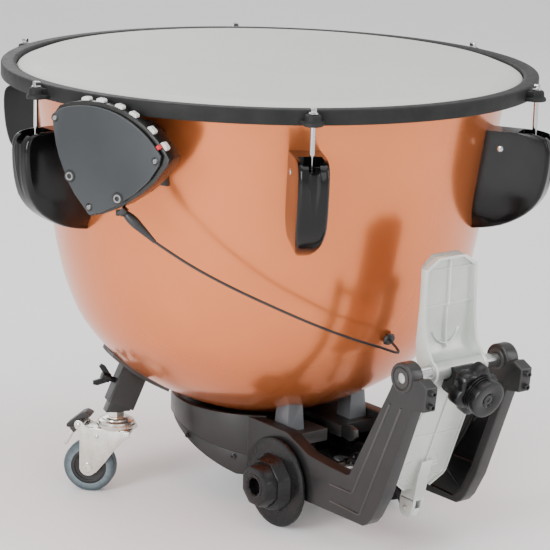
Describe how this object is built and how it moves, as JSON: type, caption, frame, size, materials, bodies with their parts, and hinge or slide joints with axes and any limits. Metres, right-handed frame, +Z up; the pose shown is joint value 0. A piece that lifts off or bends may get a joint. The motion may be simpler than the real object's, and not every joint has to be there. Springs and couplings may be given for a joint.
{
  "type": "timpani drum",
  "caption": "Pedal-tuned kettledrum: copper-toned bowl with stretched head, hoop and tension rods, cranked pedal frame, casters and a tuning gauge.",
  "frame": {"origin": "on the floor, on the bowl's axis", "axes": "+Z up along the bowl's axis, -Y towards the pedal and the player, +X to the right of someone who looks along +Y"},
  "size_m": [0.827, 0.8555, 0.6168],
  "materials": {
    "bowl_copper": "satin copper-coloured shell",
    "head_film": "smooth renaissance-white film",
    "hoop_black": "satin black powder coat",
    "rod_chrome": "polished",
    "casing_black": "glossy black moulding",
    "frame_grey": "charcoal powder coat",
    "post_grey": "blue-grey paint",
    "shaft_steel": "ground bar",
    "pedal_silver": "cast and painted silver",
    "knob_black": "moulded black",
    "gauge_slate": "slate matt sheet",
    "gauge_black": "black moulding",
    "marker_white": "white clip",
    "pointer_red": "red tip",
    "fork_zinc": "bright zinc plate",
    "tyre_grey": "blue-grey rubber",
    "wheel_black": "black nylon",
    "screw_dark": "black oxide",
    "cable_black": "black jacket",
    "inner_steel": "plated steel"
  },
  "bodies": {
    "root": {"bowl": "bowl_copper", "drumhead": "head_film", "lug_casings": "casing_black", "casing_screws": "rod_chrome", "base_housing": "frame_grey", "base_cover": "frame_grey", "arm_left": "frame_grey", "arm_right": "frame_grey", "pedal_shaft": "shaft_steel", "frame_screws": "screw_dark", "bowl_posts": "post_grey", "spring_barrels": "casing_black", "front_axle": "shaft_steel", "leg_sockets": "frame_grey", "gauge_cover": "gauge_slate", "gauge_housing": "gauge_black", "gauge_bracket": "gauge_black", "gauge_screws": "screw_dark", "gauge_plug": "gauge_black", "cable_boot": "cable_black", "cable_grommet": "cable_black", "gauge_cable": "cable_black"},
    "hoop": {"counterhoop": "hoop_black", "flesh_hoop": "inner_steel", "hoop_ears": "hoop_black"},
    "tuner": {"tuning_spider": "inner_steel", "pull_rods": "inner_steel", "lug_brackets": "inner_steel"},
    "pedal": {"pedal": "pedal_silver", "clevis_pin": "shaft_steel", "knob_hub": "knob_black"},
    "knob": {"pedal_knob": "knob_black"},
    "link": {"pedal_link": "knob_black"},
    "pointer": {"gauge_pointer": "pointer_red"},
    "front_wheel_left": {"front_wheel_left": "frame_grey"},
    "front_wheel_right": {"front_wheel_right": "frame_grey"},
    "rod_1": {"tension_rod_1": "rod_chrome"},
    "marker_1": {"note_marker_1": "marker_white"},
    "rod_2": {"tension_rod_2": "rod_chrome"},
    "marker_2": {"note_marker_2": "marker_white"},
    "rod_3": {"tension_rod_3": "rod_chrome"},
    "marker_3": {"note_marker_3": "marker_white"},
    "rod_4": {"tension_rod_4": "rod_chrome"},
    "marker_4": {"note_marker_4": "marker_white"},
    "rod_5": {"tension_rod_5": "rod_chrome"},
    "marker_5": {"note_marker_5": "marker_white"},
    "rod_6": {"tension_rod_6": "rod_chrome"},
    "marker_6": {"note_marker_6": "marker_white"},
    "leg_left": {"leg_left": "frame_grey"},
    "wing_left": {"wing_bolt_left": "knob_black"},
    "fork_left": {"caster_fork_left": "fork_zinc"},
    "wheel_left": {"caster_hub_left": "wheel_black", "caster_tyre_left": "tyre_grey"},
    "brake_left": {"brake_left": "wheel_black"},
    "leg_right": {"leg_right": "frame_grey"},
    "wing_right": {"wing_bolt_right": "knob_black"},
    "fork_right": {"caster_fork_right": "fork_zinc"},
    "wheel_right": {"caster_hub_right": "wheel_black", "caster_tyre_right": "tyre_grey"},
    "brake_right": {"brake_right": "wheel_black"}
  },
  "joints": [
    {"name": "pedal_tilt", "type": "hinge", "parent": "root", "child": "pedal", "pos_m": [0, -0.408, 0.271], "axis": [1, 0, 0], "range_deg": [0, 40]},
    {"name": "knob_turn", "type": "hinge", "parent": "pedal", "child": "knob", "pos_m": [0, -0.43299, 0.25433], "axis": [0, -0.9613, -0.2756], "continuous": true},
    {"name": "link_swing", "type": "hinge", "parent": "pedal", "child": "link", "pos_m": [0, -0.333, 0.057], "axis": [1, 0, 0], "range_deg": [-87.5, 0]},
    {"name": "hoop_travel", "type": "slide", "parent": "root", "child": "hoop", "axis": [0, 0, 1], "range_m": [-0.00405, 0]},
    {"name": "tuner_travel", "type": "slide", "parent": "root", "child": "tuner", "axis": [0, 0, 1], "range_m": [-0.00405, 0]},
    {"name": "rod_turn_1", "type": "hinge", "parent": "hoop", "child": "rod_1", "pos_m": [-0.193, -0.33429, 0.61], "axis": [0, 0, 1], "continuous": true},
    {"name": "rod_turn_2", "type": "hinge", "parent": "hoop", "child": "rod_2", "pos_m": [0.193, -0.33429, 0.61], "axis": [0, 0, 1], "continuous": true},
    {"name": "rod_turn_3", "type": "hinge", "parent": "hoop", "child": "rod_3", "pos_m": [0.386, 0, 0.61], "axis": [0, 0, 1], "continuous": true},
    {"name": "rod_turn_4", "type": "hinge", "parent": "hoop", "child": "rod_4", "pos_m": [0.193, 0.33429, 0.61], "axis": [0, 0, 1], "continuous": true},
    {"name": "rod_turn_5", "type": "hinge", "parent": "hoop", "child": "rod_5", "pos_m": [-0.193, 0.33429, 0.61], "axis": [0, 0, 1], "continuous": true},
    {"name": "rod_turn_6", "type": "hinge", "parent": "hoop", "child": "rod_6", "pos_m": [-0.386, 0, 0.61], "axis": [0, 0, 1], "continuous": true},
    {"name": "pointer_sweep", "type": "hinge", "parent": "root", "child": "pointer", "pos_m": [-0.37748, -0.12015, 0.47], "axis": [0.9272, 0.3746, 0], "range_deg": [-60.5, 0]},
    {"name": "marker_slide_1", "type": "hinge", "parent": "root", "child": "marker_1", "pos_m": [-0.37099, -0.11753, 0.47], "axis": [-0.9272, -0.3746, 0], "range_deg": [-1.5, 1.5]},
    {"name": "marker_slide_2", "type": "hinge", "parent": "root", "child": "marker_2", "pos_m": [-0.37099, -0.11753, 0.47], "axis": [-0.9272, -0.3746, 0], "range_deg": [-1.5, 1.5]},
    {"name": "marker_slide_3", "type": "hinge", "parent": "root", "child": "marker_3", "pos_m": [-0.37099, -0.11753, 0.47], "axis": [-0.9272, -0.3746, 0], "range_deg": [-1.5, 1.5]},
    {"name": "marker_slide_4", "type": "hinge", "parent": "root", "child": "marker_4", "pos_m": [-0.37099, -0.11753, 0.47], "axis": [-0.9272, -0.3746, 0], "range_deg": [-1.5, 1.5]},
    {"name": "marker_slide_5", "type": "hinge", "parent": "root", "child": "marker_5", "pos_m": [-0.37099, -0.11753, 0.47], "axis": [-0.9272, -0.3746, 0], "range_deg": [-1.5, 1.5]},
    {"name": "marker_slide_6", "type": "hinge", "parent": "root", "child": "marker_6", "pos_m": [-0.37099, -0.11753, 0.47], "axis": [-0.9272, -0.3746, 0], "range_deg": [-1.5, 1.5]},
    {"name": "front_wheel_left_spin", "type": "hinge", "parent": "root", "child": "front_wheel_left", "pos_m": [-0.1005, -0.166, 0.063], "axis": [1, 0, 0], "continuous": true},
    {"name": "front_wheel_right_spin", "type": "hinge", "parent": "root", "child": "front_wheel_right", "pos_m": [0.1005, -0.166, 0.063], "axis": [1, 0, 0], "continuous": true},
    {"name": "leg_left_extend", "type": "slide", "parent": "root", "child": "leg_left", "axis": [-0.3618, 0.1246, -0.9239], "range_m": [0, 0.025]},
    {"name": "wing_left_turn", "type": "hinge", "parent": "root", "child": "wing_left", "pos_m": [-0.21197, 0.07299, 0.16812], "axis": [-0.8735, 0.3008, 0.3827], "continuous": true},
    {"name": "caster_left_swivel", "type": "hinge", "parent": "leg_left", "child": "fork_left", "pos_m": [-0.20461, 0.07045, 0.1], "axis": [0, 0, 1], "continuous": true},
    {"name": "caster_left_roll", "type": "hinge", "parent": "fork_left", "child": "wheel_left", "pos_m": [-0.22937, 0.09795, 0.0375], "axis": [-0.7431, -0.6691, 0], "continuous": true},
    {"name": "brake_left_press", "type": "hinge", "parent": "fork_left", "child": "brake_left", "pos_m": [-0.24275, 0.11281, 0.09], "axis": [-0.7431, -0.6691, 0], "range_deg": [0, 8]},
    {"name": "leg_right_extend", "type": "slide", "parent": "root", "child": "leg_right", "axis": [0.3618, 0.1246, -0.9239], "range_m": [0, 0.025]},
    {"name": "wing_right_turn", "type": "hinge", "parent": "root", "child": "wing_right", "pos_m": [0.21197, 0.07299, 0.16812], "axis": [0.8735, 0.3008, 0.3827], "continuous": true},
    {"name": "caster_right_swivel", "type": "hinge", "parent": "leg_right", "child": "fork_right", "pos_m": [0.20461, 0.07045, 0.1], "axis": [0, 0, 1], "continuous": true},
    {"name": "caster_right_roll", "type": "hinge", "parent": "fork_right", "child": "wheel_right", "pos_m": [0.17985, 0.09795, 0.0375], "axis": [-0.7431, -0.6691, 0], "continuous": true},
    {"name": "brake_right_press", "type": "hinge", "parent": "fork_right", "child": "brake_right", "pos_m": [0.16647, 0.11281, 0.09], "axis": [-0.7431, -0.6691, 0], "range_deg": [0, 8]}
  ],
  "couplings": [
    {"joint": "link_swing", "follows": "pedal_tilt", "ratio": -2.17},
    {"joint": "hoop_travel", "follows": "pedal_tilt", "m_per_rad": -0.00573},
    {"joint": "tuner_travel", "follows": "pedal_tilt", "m_per_rad": -0.00573},
    {"joint": "pointer_sweep", "follows": "pedal_tilt", "ratio": -1.5}
  ]
}
